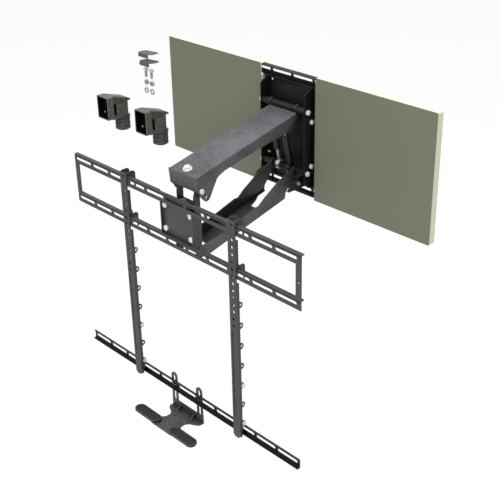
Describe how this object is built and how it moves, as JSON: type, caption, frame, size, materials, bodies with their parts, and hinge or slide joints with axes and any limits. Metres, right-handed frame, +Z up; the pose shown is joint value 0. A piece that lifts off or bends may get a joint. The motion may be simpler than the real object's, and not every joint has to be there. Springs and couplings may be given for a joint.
{
  "type": "pull-down television wall mount",
  "caption": "Full-motion television wall mount whose two parallel arms swing the screen down and out from the wall, with a sound-bar shelf, side covers and two handles.",
  "frame": {"origin": "centre of the wall plate's back face, where it meets the wall", "axes": "+X to the right seen from the room, +Y into the wall, +Z up"},
  "size_m": [0.982, 0.5065, 1.0325],
  "materials": {
    "black_steel": "matt powder coat",
    "dark_steel": "satin black",
    "cover_plastic": "matt",
    "zinc_bolts": "bright zinc",
    "bright_steel": "bright",
    "rubber": "matt",
    "handle_plastic": "matt"
  },
  "bodies": {
    "wall_side": {"wall_plate": "black_steel", "arm_bracket": "black_steel", "cover_left": "cover_plastic", "cover_right": "cover_plastic", "side_bolts": "zinc_bolts", "stop_lugs": "dark_steel", "stop_lug_bolts": "bright_steel", "wall_pin_upper": "zinc_bolts", "wall_pin_lower": "zinc_bolts"},
    "upper_arm_body": {"upper_arm": "black_steel", "upper_hinge_tube": "black_steel", "upper_gussets": "black_steel", "strut_lugs": "black_steel", "travel_bolt": "zinc_bolts", "column_pin_upper": "zinc_bolts"},
    "lower_arm_body": {"lower_arm": "black_steel", "lower_hinge_tube": "black_steel", "lower_stop_lug": "dark_steel", "column_pin_lower": "zinc_bolts"},
    "column": {"column_posts": "dark_steel", "column_sleeves": "dark_steel", "swivel_lugs": "dark_steel", "swivel_pin": "bright_steel"},
    "television_side": {"yoke": "dark_steel", "yoke_bolts": "zinc_bolts", "swivel_hub": "dark_steel", "frame_top_rail": "black_steel", "frame_bottom_rail": "black_steel", "frame_end_bars": "black_steel", "bracket_left": "black_steel", "bracket_right": "black_steel", "extension_left": "dark_steel", "extension_right": "dark_steel", "clamp_bolts": "zinc_bolts", "sound_bar_rail": "black_steel", "bar_bolts": "zinc_bolts", "shelf_plate": "black_steel", "shelf_bolts": "zinc_bolts", "shelf_pad_left": "rubber", "shelf_pad_right": "rubber", "handle_left_box": "handle_plastic", "handle_left_grip": "rubber", "handle_right_box": "handle_plastic", "handle_right_grip": "rubber", "cable_clips": "black_steel", "loose_bolts": "zinc_bolts", "loose_nuts": "zinc_bolts", "loose_washers": "zinc_bolts"},
    "strut_left_lower": {"strut_left_rod": "bright_steel"},
    "strut_left_upper": {"strut_left_cylinder": "dark_steel"},
    "strut_right_lower": {"strut_right_cylinder": "dark_steel"},
    "strut_right_upper": {"strut_right_rod": "bright_steel"}
  },
  "joints": [
    {"name": "pull_down", "type": "hinge", "parent": "wall_side", "child": "upper_arm_body", "pos_m": [0, -0.029, 0.077], "axis": [1, 0, 0], "range_deg": [-68, 24]},
    {"name": "lower_arm_swing", "type": "hinge", "parent": "wall_side", "child": "lower_arm_body", "pos_m": [0, -0.029, -0.097], "axis": [1, 0, 0], "range_deg": [-68, 24]},
    {"name": "column_level", "type": "hinge", "parent": "upper_arm_body", "child": "column", "pos_m": [0, -0.37802, -0.04701], "axis": [1, 0, 0], "range_deg": [-24, 68]},
    {"name": "swivel", "type": "hinge", "parent": "column", "child": "television_side", "pos_m": [0, -0.39602, -0.13301], "axis": [0, 0, 1], "range_deg": [-15, 15]},
    {"name": "strut_left_swing", "type": "hinge", "parent": "wall_side", "child": "strut_left_lower", "pos_m": [-0.02, -0.029, -0.097], "axis": [1, 0, 0], "range_deg": [-0.5, 1.3]},
    {"name": "strut_left_stroke", "type": "slide", "parent": "strut_left_lower", "child": "strut_left_upper", "axis": [0, -0.1983, 0.9801], "range_m": [-0.0165, 0.0535]},
    {"name": "strut_right_swing", "type": "hinge", "parent": "wall_side", "child": "strut_right_lower", "pos_m": [0.02, -0.029, -0.097], "axis": [1, 0, 0], "range_deg": [-0.5, 1.3]},
    {"name": "strut_right_stroke", "type": "slide", "parent": "strut_right_lower", "child": "strut_right_upper", "axis": [0, -0.1983, 0.9801], "range_m": [-0.0165, 0.0535]}
  ],
  "couplings": [
    {"joint": "lower_arm_swing", "follows": "pull_down", "ratio": 1},
    {"joint": "column_level", "follows": "pull_down", "ratio": -1},
    {"joint": "strut_left_swing", "follows": "pull_down", "ratio": -0.015},
    {"joint": "strut_left_stroke", "follows": "pull_down", "m_per_rad": -0.039},
    {"joint": "strut_right_swing", "follows": "pull_down", "ratio": -0.015},
    {"joint": "strut_right_stroke", "follows": "pull_down", "m_per_rad": -0.039}
  ]
}
